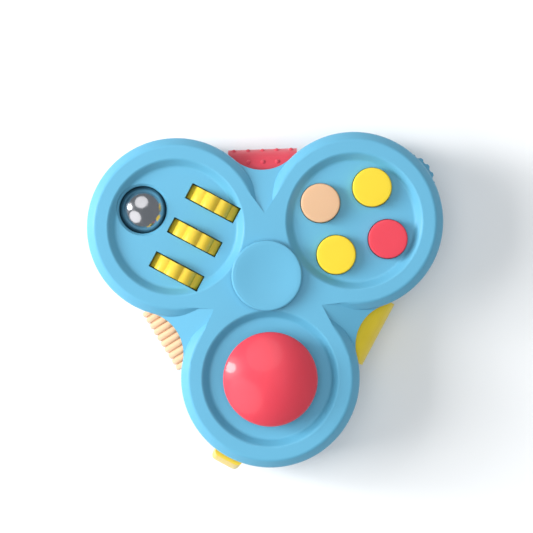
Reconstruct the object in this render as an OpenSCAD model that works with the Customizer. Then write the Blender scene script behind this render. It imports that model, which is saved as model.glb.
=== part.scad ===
// Three-lobed spinning fidget pad.
//
// The origin is on the spin axis, at the flat underside of the finger cap, with +Z out of the
// front face. The lobes point at 150, 30 and 270 degrees, and the hollows between them at 90,
// 210 and 330 degrees. Lobe 1 holds three rollers and a steel ball, lobe 2 four push buttons
// and an edge dial, lobe 3 a joystick and a rocker switch.

/* [Body] */
// Distance from the spin axis to the centre of each lobe
lobe_dist = 24.8; // [24.6:0.1:25]
// Radius of each lobe
lobe_r = 21.6; // [21.5:0.1:22]
// Radius of the hollow between two lobes
notch_r = 10; // [9.6:0.1:10.4]
// Thickness of the closed body, front face to back face
body_t = 20; // [20:0.1:20.4]
// Thickness of the side wall and of the back
wall = 1.8; // [1.6:0.1:1.8]
// Width of the bevel round both faces
bevel = 1.8; // [1:0.1:1.8]
// How far the gutter between two lobes drops at the hollow
gutter_drop = 2.4; // [1:0.1:2.6]
// Radius of the round dish in each lobe, at the front face
dish_r = 16.4; // [16.2:0.1:16.6]
// Radius of the flat floor of the dish
dish_floor_r = 14.7; // [14.7:0.1:15]
// Depth of the dish
dish_depth = 1.8; // [1.6:0.1:1.8]
// Thickness of the front under the dish
floor_t = 1.6; // [1.6:0.1:1.8]
// Distance of the three shell screws from the spin axis
screw_dist = 17.5; // [17.4:0.1:17.6]

/* [Hub] */
// Radius of the thumb and finger caps
cap_r = 8.5; // [8:0.1:9]
// Thickness of each cap
cap_t = 1.6; // [1.4:0.1:1.8]
// Gap between a cap and the body
cap_gap = 0.4; // [0.3:0.1:0.5]
// Outer radius of the bearing
bearing_r = 11; // [11:0.1:11]
// Bore radius of the bearing
bearing_bore_r = 4; // [4:0.1:4]
// Width of the bearing
bearing_w = 7; // [7:0.1:7]
// Number of bearing balls
ball_count = 7; // [6:1:8]

/* [Hollow pads] */
// Length of each pad along the edge
pad_len = 16.8; // [15:0.1:17]
// Distance of each pad's outermost line from the spin axis
pad_reach = 31; // [30:0.1:31.2]
// Radius of the bulge of each pad
pad_bulge_r = 5.7; // [5:0.1:5.8]

/* [Rollers and ball] */
// Distance of the roller axle from the spin axis
roller_u = 19.7; // [19.6:0.1:19.8]
// Spacing of the rollers along the axle
roller_pitch = 9.3; // [9:0.1:9.4]
// Outer radius of a roller
roller_r = 6.85; // [6.6:0.05:6.9]
// Width of a roller
roller_w = 3.6; // [2.6:0.1:3.6]
// Number of soft lobes on a roller
roller_lobes = 10; // [9:1:12]
// Length of a roller slot
slot_len = 13.1; // [13:0.1:13.3]
// Width of a roller slot
slot_w = 4.1; // [3.8:0.1:4.3]
// Distance of the steel ball from the spin axis
ball_u = 33.9; // [33.8:0.1:34]
// Radius of the steel ball
ball_r = 6; // [5.8:0.1:6]

/* [Buttons] */
// Radius of a button
button_r = 4.7; // [4.4:0.1:4.8]
// Distance of each button from the centre of its lobe
button_dist = 9.2; // [9.1:0.1:9.3]
// Height of a button top over the dish floor
button_proud = 2.3; // [1.8:0.1:2.6]

/* [Edge dial] */
// Radius of the dial over its teeth
dial_r = 7.5; // [7.3:0.1:7.6]
// Thickness of the dial
dial_t = 4.4; // [3.6:0.1:4.4]
// Number of teeth on the dial
dial_teeth = 20; // [16:1:20]
// How far the dial stands out of the lobe
dial_proud = 1.6; // [1:0.1:1.8]

/* [Joystick] */
// Radius of the joystick cap
stick_cap_r = 11.4; // [11:0.1:11.6]
// Height of the top of the joystick cap
stick_top_z = 28.8; // [28:0.1:29.4]
// Height of the tilt centre
tilt_z = 13; // [13:0.1:13]

/* [Rocker switch] */
// Length of the rocker along the edge
rocker_len = 7.4; // [6.8:0.1:7.5]
// Angle of the rocker to either side of upright
rocker_tilt = 14; // [10:1:14]

/* [Hidden] */

$fn = 96;

LOBES = [150, 30, 270];
HOLLOWS = [90, 210, 330];

blue = [0.42, 0.74, 0.87];
red = [0.93, 0.30, 0.36];
yellow = [0.96, 0.86, 0.25];
tan_tone = [0.93, 0.77, 0.61];
steel = [0.75, 0.76, 0.78];
grey = [0.35, 0.36, 0.38];

back_z = cap_t + cap_gap;
face_z = back_z + body_t;
split_z = back_z + body_t / 2;
dish_z = face_z - dish_depth;
ceil_z = dish_z - floor_t;
deck_z = back_z + wall;

// Distance from the spin axis to the centre of a hollow's arc
notch_dist = lobe_dist / 2 + sqrt(pow(lobe_r + notch_r, 2) - 3 * lobe_dist * lobe_dist / 4);
// Distance from the spin axis to the point where two lobe rims cross
gutter_start = lobe_dist / 2 + sqrt(pow(lobe_r + 0.1, 2) - 3 * lobe_dist * lobe_dist / 4);
gutter_end = notch_dist - notch_r;
// Arcs of a lobe and a hollow overlap by this much, so that they cross cleanly
blend = 0.03;

bearing_lo = split_z - bearing_w / 2;
bearing_hi = split_z + bearing_w / 2;
boss_r = bearing_r + 1;
race_inner_r = 6.2;
race_outer_r = 8.9;
ball_pitch_r = 7.5;
bearing_ball_r = 1.985;
stem_r = 5.4;
stem_hole_r = 6;

window_w = pad_len + 0.2;
window_z = [split_z - 5.8, split_z + 5.8];
pad_centre = pad_reach - pad_bulge_r;

roller_z = 16;
axle_r = 1;
frame_z = 6;
ball_z = face_z + 0.5 - ball_r;
// The ball's section at the underside of the front, plus a close running gap
ball_neck_r = sqrt(ball_r * ball_r - pow(ceil_z - ball_z, 2)) + 0.1;
cup_r = 5.2;
cup_z = [8.6, 12.6];

// Angle round the centre of lobe 2 of each button
button_angles = [120, -60, 30, 210];
plate_z = 13.7;
plate_t = 1.2;
plate_posts = [[75, 12.6], [-105, 12.6], [165, 10]];

dial_angle = 4.5;
dial_dist = lobe_r + dial_proud - dial_r;
dial_z = 8.8;

skirt_r = 7.5;
ring_r = [4.2, 5.6];

rocker_angle = -30;
rocker_pin_dist = lobe_r - 2.5;

// ---- placing ----

module at_lobe(i) rotate(LOBES[i]) children();
module at_lobe_centre(i) rotate(LOBES[i]) translate([lobe_dist, 0, 0]) children();
module at_button(i) at_lobe_centre(1) rotate(button_angles[i]) translate([button_dist, 0, 0]) children();
module at_dial() at_lobe_centre(1) rotate(dial_angle) translate([dial_dist, 0, 0]) children();
module at_rocker() at_lobe_centre(2) rotate(rocker_angle) translate([rocker_pin_dist, 0, split_z]) children();
module at_screws() for (a = HOLLOWS) rotate(a) translate([screw_dist, 0, 0]) children();

// ---- shared shapes ----

module tube(r_out, r_in, z0, z1) {
    translate([0, 0, z0]) difference() {
        cylinder(h = z1 - z0, r = r_out);
        translate([0, 0, -1]) cylinder(h = z1 - z0 + 2, r = r_in);
    }
}

module rod(r, z0, z1) translate([0, 0, z0]) cylinder(h = z1 - z0, r = r);

// A round bar along Y through the origin, its seam turned away from the flat faces beside it
module cross_rod(r, len) rotate([90, 45, 0]) cylinder(h = len, r = r, center = true);

module lobe_centres() for (a = LOBES) rotate(a) translate([lobe_dist, 0, 0]) children();

// The body's outline: three lobes and the web between them, with an arc scooped out of each hollow
module body_plan() difference() {
    union() {
        lobe_centres() circle(r = lobe_r);
        polygon([for (a = [30:60:330])
            (a % 120 == 30 ? lobe_dist : notch_dist) * [cos(a), sin(a)]]);
    }
    for (a = HOLLOWS) rotate(a) translate([notch_dist, 0]) circle(r = notch_r + blend);
}

// The outline of the space inside the body, with straight walls behind the hollows
module space_plan() {
    n = gutter_end - wall - 0.3;
    lobe_centres() circle(r = lobe_r - wall);
    polygon([for (a = HOLLOWS, t = [-12, 12])
        [n * cos(a) - t * sin(a), n * sin(a) + t * cos(a)]]);
}

// Half of the solid body on z = 0, with the lobes' bevels and the gutters cut into its top
module body_half() {
    h = body_t / 2;
    difference() {
        linear_extrude(h) body_plan();
        lobe_centres() rotate(-100) rotate_extrude(angle = 200)
            polygon([[lobe_r - bevel - 1, h + 1], [lobe_r + 1, h - bevel - 1], [lobe_r + 1, h + 1]]);
        for (a = HOLLOWS) difference() {
            rotate(a) translate([gutter_start - 0.9, 0, h])
                rotate([0, atan(gutter_drop / (gutter_end - gutter_start)), 0])
                    translate([0, -12, 0]) cube([24, 24, 8]);
            lobe_centres() translate([0, 0, h - 8]) cylinder(h = 20, r = lobe_r + 0.1);
        }
    }
}

module front_half() translate([0, 0, split_z]) children();
module back_half() translate([0, 0, split_z]) mirror([0, 0, 1]) children();

// A coil spring standing between two heights, swept as rings of six points
module coil(r, wire, z0, z1, turns) {
    per_turn = 14;
    steps = turns * per_turn;
    lo = z0 + wire;
    hi = z1 - wire;
    points = [for (i = [0:steps]) let (a = 360 * i / per_turn, z = lo + (hi - lo) * i / steps)
        for (k = [0:5]) let (q = r + wire * cos(60 * k))
            [q * cos(a), q * sin(a), z + wire * sin(60 * k)]];
    polyhedron(points, concat(
        [[0, 1, 2, 3, 4, 5]],
        [for (i = [0:steps - 1], k = [0:5]) let (j = (k + 1) % 6)
            [6 * i + k, 6 * i + 6 + k, 6 * i + 6 + j, 6 * i + j]],
        [[for (k = [5:-1:0]) 6 * steps + k]]));
}

// The front of a pad: a bar of radius r along the edge of the body, cut off behind
module pad_bar(r, len) intersection() {
    translate([pad_centre, 0, split_z]) cross_rod(r, len);
    translate([pad_centre + 0.2, -len, 0]) cube([12, 2 * len, 30]);
}

// A pad from its bulging front to the flange that holds it behind the wall
module pad_body(r, len) rotate([90, 0, 0]) linear_extrude(len, center = true) {
    translate([0, split_z]) intersection() {
        translate([pad_centre, 0]) circle(r = r);
        translate([pad_centre - 0.5, -10]) square([12, 20]);
    }
    translate([22.4, split_z - r + 0.1]) square([pad_centre - 22, 2 * r - 0.2]);
    translate([21.8, deck_z + 0.3]) square([1.6, ceil_z - deck_z - 0.5]);
}

// ---- shells ----

module wall_openings() {
    for (a = HOLLOWS) rotate(a) translate([20, -window_w / 2, window_z[0]])
        cube([14, window_w, window_z[1] - window_z[0]]);
    at_dial() rod(dial_r + 0.4, dial_z - 0.3, dial_z + dial_t + 0.3);
    at_rocker() translate([-1, -rocker_len / 2 - 0.25, -5.6]) cube([6, rocker_len + 0.5, 11.2]);
    at_rocker() cross_rod(axle_r, 10);
}

module rocker_ears(z0, z1) {
    at_rocker() for (s = [-1, 1]) translate([-1.8, s * 4.6 - 0.6, z0 - split_z])
        cube([3.1, 1.2, z1 - z0]);
}

module front_shell() color(blue) difference() {
    union() {
        difference() {
            front_half() body_half();
            translate([0, 0, split_z - 1]) linear_extrude(ceil_z - split_z + 1) space_plan();
        }
        rod(boss_r, split_z, ceil_z + 0.2);
        at_screws() rod(2.9, split_z, ceil_z + 0.2);
        rocker_ears(split_z + 0.05, ceil_z + 0.2);
        for (p = plate_posts) at_lobe_centre(1) rotate(p[0]) translate([p[1], 0, 0])
            rod(1.5, plate_z + plate_t, ceil_z + 0.2);
    }
    for (i = [0:2]) at_lobe_centre(i) translate([0, 0, dish_z])
        cylinder(h = 1.5 * dish_depth, r1 = dish_floor_r, r2 = 1.5 * dish_r - 0.5 * dish_floor_r);
    rod(bearing_r, split_z - 1, bearing_hi);
    rod(race_outer_r + 0.5, bearing_hi - 1, bearing_hi + 0.5);
    rod(stem_hole_r, bearing_hi, face_z + 1);
    at_screws() rod(1, split_z - 1, split_z + 5);
    for (v = [-1:1]) at_lobe(0)
        translate([roller_u - slot_len / 2, v * roller_pitch - slot_w / 2, ceil_z - 1])
            cube([slot_len, slot_w, 4]);
    at_lobe(0) translate([ball_u, 0, 0]) {
        rod(ball_neck_r, ceil_z - 1, dish_z + 1);
        translate([0, 0, dish_z - 0.6]) cylinder(h = 1, r1 = ball_neck_r, r2 = ball_neck_r + 0.75);
    }
    for (i = [0:3]) at_button(i) rod(button_r + 0.1, ceil_z - 1, dish_z + 1);
    at_lobe_centre(2) rod(5.5, ceil_z - 1, dish_z + 1);
    wall_openings();
}

module back_shell() color(blue) difference() {
    union() {
        difference() {
            back_half() body_half();
            translate([0, 0, deck_z]) linear_extrude(split_z - deck_z + 1) space_plan();
        }
        rod(boss_r, deck_z - 0.2, split_z);
        at_screws() rod(2.9, deck_z - 0.2, split_z);
        rocker_ears(deck_z - 0.2, split_z - 0.05);
        for (v = [-1:1]) at_lobe(0) translate([roller_u, v * 12.2, 0]) rod(1.5, deck_z - 0.2, frame_z);
        at_lobe(0) translate([ball_u, 0, 0]) rod(cup_r + 1.2, deck_z - 0.2, 11.5);
        for (p = plate_posts) at_lobe_centre(1) rotate(p[0]) translate([p[1], 0, 0])
            rod(1.5, deck_z - 0.2, plate_z);
        at_dial() rod(2.6, deck_z - 0.2, dial_z - 0.4);
        at_dial() translate([-10.2, -2.5, deck_z - 0.2]) cube([1.5, 5, split_z - deck_z + 0.2]);
        at_rocker() translate([-6.6, -2, deck_z - 0.2 - split_z]) cube([1.3, 4, split_z - deck_z + 0.2]);
        at_lobe_centre(2) for (s = [-1, 1]) translate([0, 6.6 * s, 0]) rod(1, deck_z - 0.2, deck_z + 1.6);
    }
    rod(bearing_r, bearing_lo, split_z + 1);
    rod(race_outer_r + 0.5, bearing_lo - 0.5, bearing_lo + 1);
    rod(stem_hole_r, back_z - 1, bearing_lo);
    at_screws() {
        rod(2.4, back_z - 1, back_z + 3);
        rod(1.2, back_z, split_z + 1);
    }
    at_lobe(0) translate([ball_u, 0, 0]) rod(cup_r + 0.08, deck_z, 12);
    at_dial() rod(1.25, deck_z, dial_z);
    wall_openings();
}

module shell_screws() color(steel) at_screws() difference() {
    union() {
        rod(2.2, back_z + 1.2, back_z + 3);
        rod(1, back_z + 3, split_z + 4);
    }
    for (a = [0, 90]) rotate(a) translate([-1.4, -0.3, back_z + 1]) cube([2.8, 0.6, 1.1]);
}

// ---- hub and bearing ----

module thumb_cap() color(blue) {
    rotate_extrude() polygon([
        [0, split_z + 0.1], [bearing_bore_r, split_z + 0.1], [bearing_bore_r, bearing_hi],
        [stem_r, bearing_hi], [stem_r, face_z + cap_gap], [cap_r, face_z + cap_gap],
        [cap_r, face_z + cap_gap + cap_t - 0.6], [cap_r - 0.6, face_z + cap_gap + cap_t],
        [0, face_z + cap_gap + cap_t]]);
}

module finger_cap() color(blue) {
    rotate_extrude() polygon([
        [0, 0], [cap_r - 0.6, 0], [cap_r, 0.6], [cap_r, cap_t], [stem_r, cap_t],
        [stem_r, bearing_lo], [bearing_bore_r, bearing_lo], [bearing_bore_r, split_z - 0.1],
        [0, split_z - 0.1]]);
}

module ball_track() rotate_extrude() translate([ball_pitch_r, split_z]) circle(r = bearing_ball_r + 0.065);

module bearing_inner_race() color(steel) difference() {
    tube(race_inner_r, bearing_bore_r, bearing_lo, bearing_hi);
    ball_track();
}

module bearing_outer_race() color(steel) difference() {
    tube(bearing_r, race_outer_r, bearing_lo, bearing_hi);
    ball_track();
}

module bearing_shields() color(steel) {
    tube(race_outer_r, race_inner_r + 0.2, bearing_lo + 0.1, bearing_lo + 0.4);
    tube(race_outer_r, race_inner_r + 0.2, bearing_hi - 0.4, bearing_hi - 0.1);
}

module at_bearing_balls() for (i = [0:ball_count - 1]) rotate(360 * i / ball_count)
    translate([ball_pitch_r, 0, split_z]) children();

module bearing_cage() color(grey) difference() {
    tube(8.1, 6.9, split_z - 2.6, split_z + 2.6);
    at_bearing_balls() sphere(r = bearing_ball_r + 0.065);
}

module bearing_balls() color(steel) at_bearing_balls() sphere(r = bearing_ball_r);

// ---- pads in the hollows ----

module nubbed_pad() color(red) rotate(HOLLOWS[0]) {
    pad_body(pad_bulge_r, pad_len);
    for (v = [-2:2], a = [-66, -22, 22, 66])
        translate([pad_centre, v * 3.5, split_z]) rotate([0, a, 0])
            translate([pad_bulge_r - 0.25, 0, 0]) sphere(r = 0.65, $fn = 24);
}

module ribbed_pad() color(tan_tone) rotate(HOLLOWS[1]) {
    pad_body(pad_bulge_r - 0.6, pad_len - 0.8);
    for (i = [0:9]) translate([0, (i - 4.5) * 1.7, 0]) pad_bar(pad_bulge_r, 1);
}

module smooth_pad() color(yellow) rotate(HOLLOWS[2]) pad_body(pad_bulge_r, pad_len);

// ---- lobe 1: rollers and ball ----

module roller_frame() color(grey) at_lobe(0) difference() {
    union() {
        translate([roller_u - 3, -13.2, frame_z]) cube([6, 26.4, 1.6]);
        for (s = [-1, 1], v = [4.65, 12.4]) translate([roller_u - 2.2, s * v - 0.8, frame_z])
            cube([4.4, 1.6, ceil_z - frame_z]);
    }
    translate([roller_u, 0, roller_z]) cross_rod(axle_r, 30);
}

module roller_axle() color(steel) at_lobe(0) translate([roller_u, 0, roller_z]) cross_rod(axle_r, 26.4);

// A wheel with soft lobes round its rim, one of them turned 6 degrees from the top
module roller(v) {
    bead_r = 2.1;
    at_lobe(0) translate([roller_u, v * roller_pitch, roller_z]) rotate([90, 0, 0])
        linear_extrude(roller_w, center = true) difference() {
            union() {
                circle(r = roller_r - 0.75);
                for (i = [0:roller_lobes - 1]) rotate(84 + 360 * i / roller_lobes)
                    translate([roller_r - bead_r, 0]) circle(r = bead_r);
            }
            circle(r = axle_r + 0.05);
        }
}

module roller_a() color(yellow) roller(-1);
module roller_b() color(yellow) roller(0);
module roller_c() color(yellow) roller(1);

module roller_click_spring() color(steel) at_lobe(0) difference() {
    union() {
        translate([roller_u - 3, -11.6, frame_z + 1.6]) cube([6, 23.2, 0.3]);
        for (v = [-1:1]) translate([roller_u, v * roller_pitch, frame_z + 1.7]) intersection() {
            cross_rod(1.1, 2.4);
            translate([-2, -2, 0]) cube([4, 4, 2]);
        }
    }
    for (s = [-1, 1]) translate([roller_u - 2.25, s * 4.65 - 0.85, frame_z]) cube([4.5, 1.7, 4]);
}

module steel_ball() color(steel) at_lobe(0) translate([ball_u, 0, ball_z]) sphere(r = ball_r);

module ball_cup() color(grey) at_lobe(0) difference() {
    translate([ball_u, 0, 0]) rod(cup_r, cup_z[0], cup_z[1]);
    translate([ball_u, 0, ball_z]) sphere(r = ball_r + 0.06);
}

module ball_spring() color(steel) at_lobe(0) translate([ball_u, 0, 0])
    coil(3.4, 0.35, deck_z, cup_z[0] - 0.05, 3);

// ---- lobe 2: buttons and dial ----

module button(i) {
    top_z = dish_z + button_proud;
    at_button(i) rotate_extrude() polygon([
        [3.7, ceil_z - 1.3], [button_r + 0.6, ceil_z - 1.3], [button_r + 0.6, ceil_z - 0.1],
        [button_r, ceil_z - 0.1], [button_r, top_z - 0.4], [button_r - 0.4, top_z],
        [0, top_z], [0, top_z - 1.3], [3.7, top_z - 1.3]]);
}

module button_spring(i) at_button(i)
    coil(2.6, 0.3, plate_z + plate_t, dish_z + button_proud - 1.35, 4);

module button_tan() color(tan_tone) button(0);
module button_red() color(red) button(1);
module button_yellow_outer() color(yellow) button(2);
module button_yellow_inner() color(yellow) button(3);
module spring_tan() color(steel) button_spring(0);
module spring_red() color(steel) button_spring(1);
module spring_yellow_outer() color(steel) button_spring(2);
module spring_yellow_inner() color(steel) button_spring(3);

module button_plate() color(grey) difference() {
    union() {
        at_lobe_centre(1) rod(14.4, plate_z, plate_z + plate_t);
        for (i = [0:3]) at_button(i) rod(1.8, plate_z, plate_z + plate_t + 1.4);
    }
    rod(boss_r + 0.3, plate_z - 1, plate_z + 4);
    at_dial() rod(1.25, plate_z - 1, plate_z + 0.6);
}

module edge_dial() color(blue) at_dial() difference() {
    rod(dial_r, dial_z, dial_z + dial_t);
    for (i = [0:dial_teeth - 1]) rotate(360 * (i + 0.5) / dial_teeth)
        translate([dial_r + 0.5, 0, 0]) rod(0.95, dial_z - 1, dial_z + dial_t + 1);
    rod(1.3, dial_z - 1, dial_z + dial_t + 1);
}

module dial_axle() color(steel) at_dial() rod(1.25, deck_z, plate_z + 0.6);

module dial_click_spring() color(steel) at_dial() {
    translate([-8.7, -3, dial_z]) cube([0.2, 6, 4]);
    translate([-8.55, 0, dial_z]) intersection() {
        cylinder(h = 4, r = 0.8);
        translate([0, -1, 0]) cube([2, 2, 4]);
    }
}

// ---- lobe 3: joystick and rocker ----

module joystick_cap() color(red) at_lobe_centre(2) difference() {
    dome_r = 17.6;
    intersection() {
        translate([0, 0, stick_top_z - dome_r]) sphere(r = dome_r);
        union() {
            translate([0, 0, 23.4]) cylinder(h = 1, r1 = stick_cap_r - 1, r2 = stick_cap_r);
            rod(stick_cap_r, 24.4, 30);
        }
    }
    rod(9.4, 23, 24.8);
    rod(3.2, 23, 26.4);
}

module joystick_stick() color(grey) at_lobe_centre(2) difference() {
    union() {
        rod(2.2, 9.2, 20);
        rod(2.8, 9.2, 10.2);
        rod(3.2, tilt_z + 6.9, 26.4);
        intersection() {
            difference() {
                translate([0, 0, tilt_z]) sphere(r = skirt_r);
                translate([0, 0, tilt_z]) sphere(r = skirt_r - 1);
            }
            rod(8, 17.2, 22);
        }
    }
    translate([0, 0, tilt_z]) cross_rod(0.8, 8);
}

module joystick_pin() color(steel) at_lobe_centre(2) translate([0, 0, tilt_z]) cross_rod(0.8, 10.6);

module gimbal_ring() color(grey) at_lobe_centre(2) difference() {
    union() {
        tube(ring_r[1], ring_r[0], tilt_z - 1.5, tilt_z + 1.5);
        for (s = [-1, 1]) translate([s * 6.3, 0, tilt_z]) rotate([0, 90, 0])
            cylinder(h = 3, r = 1, center = true);
    }
    translate([0, 0, tilt_z]) cross_rod(0.85, 20);
}

module joystick_base() color(grey) at_lobe_centre(2) difference() {
    union() {
        rod(8.8, deck_z, deck_z + 1);
        for (s = [-1, 1]) translate([s * 6.9 - 0.9, -2.2, deck_z]) cube([1.8, 4.4, tilt_z + 1.6 - deck_z]);
    }
    translate([0, 0, tilt_z]) rotate([0, 90, 0]) cylinder(h = 20, r = 1.05, center = true);
    for (s = [-1, 1]) translate([0, 6.6 * s, 0]) rod(1, deck_z - 1, deck_z + 2);
}

module joystick_spring() color(steel) at_lobe_centre(2) coil(3.4, 0.35, deck_z + 1, 7.6, 2);

module joystick_spring_seat() color(grey) at_lobe_centre(2) {
    rod(4.4, 7.6, 8.4);
    tube(2.9, 2.2, 6.4, 7.6);
}

module rocker_switch() color(yellow) at_rocker() difference() {
    intersection() {
        rotate([0, -rocker_tilt, 0]) union() {
            rotate([90, 0, 0]) linear_extrude(rocker_len, center = true)
                polygon([[0, -2], [1.6, -4.6], [4.7, -4.2], [5.3, 0], [4.7, 4.2], [1.6, 4.6], [0, 2]]);
            cross_rod(2, rocker_len);
            translate([-3, -1, -0.6]) cube([3, 2, 1.2]);
        }
        linear_extrude(14, center = true) union() {
            translate([-6, -rocker_len / 2]) square([10.3, rocker_len]);
            translate([-6, -rocker_len / 2 + 1.5]) square([12, rocker_len - 3]);
            for (s = [-1, 1]) translate([4.3, s * (rocker_len / 2 - 1.5)]) circle(r = 1.5);
        }
    }
    cross_rod(axle_r + 0.05, 20);
}

module rocker_pin() color(steel) at_rocker() cross_rod(axle_r, 10);

module rocker_click_spring() color(steel) at_rocker() {
    translate([-5.3, -2.5, -4.2]) cube([0.2, 5, 8]);
    translate([-5.2, 0, 0]) intersection() {
        cross_rod(1.6, 3);
        translate([0, -2, -2]) cube([2, 4, 4]);
    }
}

front_shell();
back_shell();
shell_screws();
thumb_cap();
finger_cap();
bearing_inner_race();
bearing_outer_race();
bearing_shields();
bearing_cage();
bearing_balls();
nubbed_pad();
ribbed_pad();
smooth_pad();
roller_frame();
roller_axle();
roller_a();
roller_b();
roller_c();
roller_click_spring();
steel_ball();
ball_cup();
ball_spring();
button_tan();
button_red();
button_yellow_outer();
button_yellow_inner();
spring_tan();
spring_red();
spring_yellow_outer();
spring_yellow_inner();
button_plate();
edge_dial();
dial_axle();
dial_click_spring();
joystick_cap();
joystick_stick();
joystick_pin();
gimbal_ring();
joystick_base();
joystick_spring();
joystick_spring_seat();
rocker_switch();
rocker_pin();
rocker_click_spring();
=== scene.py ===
import math

import bpy
from bpy.props import FloatProperty, FloatVectorProperty, IntProperty, PointerProperty
from mathutils import Matrix, Vector


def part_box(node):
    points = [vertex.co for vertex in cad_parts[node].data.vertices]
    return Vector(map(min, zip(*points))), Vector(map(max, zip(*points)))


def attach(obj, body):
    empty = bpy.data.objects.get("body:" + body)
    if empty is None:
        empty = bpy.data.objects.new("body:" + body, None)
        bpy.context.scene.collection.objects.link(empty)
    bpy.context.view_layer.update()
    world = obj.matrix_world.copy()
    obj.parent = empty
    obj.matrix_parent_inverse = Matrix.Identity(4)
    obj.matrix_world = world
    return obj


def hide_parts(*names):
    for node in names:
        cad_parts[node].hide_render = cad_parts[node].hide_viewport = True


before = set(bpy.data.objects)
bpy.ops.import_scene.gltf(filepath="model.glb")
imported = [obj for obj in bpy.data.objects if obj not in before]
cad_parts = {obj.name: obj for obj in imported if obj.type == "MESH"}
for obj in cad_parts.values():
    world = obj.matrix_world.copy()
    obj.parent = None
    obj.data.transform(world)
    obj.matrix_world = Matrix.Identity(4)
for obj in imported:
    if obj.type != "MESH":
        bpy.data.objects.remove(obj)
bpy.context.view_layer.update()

bl_info = {
    "name": "Three-lobed fidget pad",
    "version": (1, 0, 0),
    "blender": (4, 5, 0),
    "location": "3D View > Sidebar > Fidget pad",
    "description": "Builds the shells, controls and finishes of a three-lobed spinning fidget pad",
    "category": "Object",
}

MM = 0.001
LOBES = (150.0, 30.0, 270.0)
HOLLOWS = (90.0, 210.0, 330.0)

# Distances in millimetres from the spin axis, and the rub pads' length
LOBE_DIST = 24.8
BALL_DIST = 33.9
PAD_CENTRE = 25.3
SCREW_DIST = 17.5
PAD_LENGTH = 16.8

# Places in millimetres and degrees, seen from their own lobe's centre
BUTTON_DIST = 9.2
DIAL_TURN, DIAL_DIST = 4.5, 15.7
ROCKER_TURN, ROCKER_DIST = -30, 19.1


def top_of(node):
    """Height of an engineered node's top in millimetres."""
    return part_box(node)[1][2] / MM


def bottom_of(node):
    """Height of an engineered node's underside in millimetres."""
    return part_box(node)[0][2] / MM


# Heights in millimetres, read from the engineered parts
BACK_Z = bottom_of("back_shell")
FACE_Z = top_of("front_shell")
SPLIT_Z = (BACK_Z + FACE_Z) / 2
HALF = FACE_Z - SPLIT_Z
DISH_Z = FACE_Z - 1.8
CEIL_Z = DISH_Z - 1.6
DECK_Z = BACK_Z + 1.8
BEARING_LO = bottom_of("bearing_inner_race")
BEARING_HI = top_of("bearing_inner_race")


# ---- settings ----

class PadSizes(bpy.types.PropertyGroup):
    """Sizes of the pad's body and controls"""

    lobe_dist: FloatProperty(
        name="Lobe distance", description="Distance from the spin axis to each lobe's centre",
        default=LOBE_DIST * MM, min=0.024, max=0.025, unit="LENGTH", precision=5)
    lobe_r: FloatProperty(
        name="Lobe radius", description="Radius of each lobe",
        default=21.6 * MM, min=0.021, max=0.022, unit="LENGTH", precision=5)
    notch_r: FloatProperty(
        name="Hollow radius", description="Radius of the hollow between two lobes",
        default=10 * MM, min=0.009, max=0.011, unit="LENGTH", precision=5)
    rim_bevel: FloatProperty(
        name="Rim bevel", description="Width of the soft-edged bevel along the rim of both faces",
        default=1.9 * MM, min=0.001, max=0.003, unit="LENGTH", precision=5)
    dish_r: FloatProperty(
        name="Dish radius", description="Radius of the round dish in each lobe, at the face",
        default=16.4 * MM, min=0.016, max=0.017, unit="LENGTH", precision=5)
    dish_floor_r: FloatProperty(
        name="Dish floor radius", description="Radius of the flat floor of each dish",
        default=14.7 * MM, min=0.014, max=0.015, unit="LENGTH", precision=5)
    gutter_drop: FloatProperty(
        name="Gutter drop", description="How far the gutter between two lobes falls at the hollow",
        default=2.4 * MM, min=0.001, max=0.003, unit="LENGTH", precision=5)
    roller_lobes: IntProperty(
        name="Roller lobes", description="Number of soft lobes round each roller",
        default=10, min=8, max=12)
    dial_teeth: IntProperty(
        name="Dial teeth", description="Number of scallops round the edge dial",
        default=20, min=14, max=20)


class PadColours(bpy.types.PropertyGroup):
    """Colours of the pad's plastics and rubbers"""

    shell: FloatVectorProperty(
        name="Shell", description="Light blue of the body",
        default=(0.112, 0.385, 0.565), min=0, max=1, size=3, subtype="COLOR")
    red: FloatVectorProperty(
        name="Red", description="Red of the joystick and of the red button",
        default=(0.720, 0.050, 0.080), min=0, max=1, size=3, subtype="COLOR")
    yellow: FloatVectorProperty(
        name="Yellow", description="Yellow of the buttons, the rollers and the rocker",
        default=(0.800, 0.590, 0.028), min=0, max=1, size=3, subtype="COLOR")
    roller_yellow: FloatVectorProperty(
        name="Roller yellow", description="Deeper yellow of the rollers and of the rocker",
        default=(0.720, 0.510, 0.040), min=0, max=1, size=3, subtype="COLOR")
    tan: FloatVectorProperty(
        name="Tan", description="Tan of the tan button and the ribbed pad",
        default=(0.680, 0.420, 0.245), min=0, max=1, size=3, subtype="COLOR")
    pad_red: FloatVectorProperty(
        name="Red rubber", description="Red of the nubbed rubber pad",
        default=(0.640, 0.050, 0.080), min=0, max=1, size=3, subtype="COLOR")
    steel: FloatVectorProperty(
        name="Steel", description="Tone of the bright steel parts",
        default=(0.620, 0.625, 0.640), min=0, max=1, size=3, subtype="COLOR")
    inner: FloatVectorProperty(
        name="Inner plastic", description="Tone of the plastic parts inside",
        default=(0.110, 0.115, 0.125), min=0, max=1, size=3, subtype="COLOR")


# ---- drawing and cutting ----

def alone(obj):
    """Leave only this object selected and active, in object mode."""
    if bpy.context.mode != "OBJECT":
        bpy.ops.object.mode_set(mode="OBJECT")
    bpy.ops.object.select_all(action="DESELECT")
    if obj is not None:
        obj.select_set(True)
        bpy.context.view_layer.objects.active = obj


def edit(obj):
    """Open an object for editing with everything selected."""
    alone(obj)
    bpy.ops.object.mode_set(mode="EDIT")
    bpy.ops.mesh.select_all(action="SELECT")


def leave():
    """Go back to object mode."""
    bpy.ops.object.mode_set(mode="OBJECT")


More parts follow.
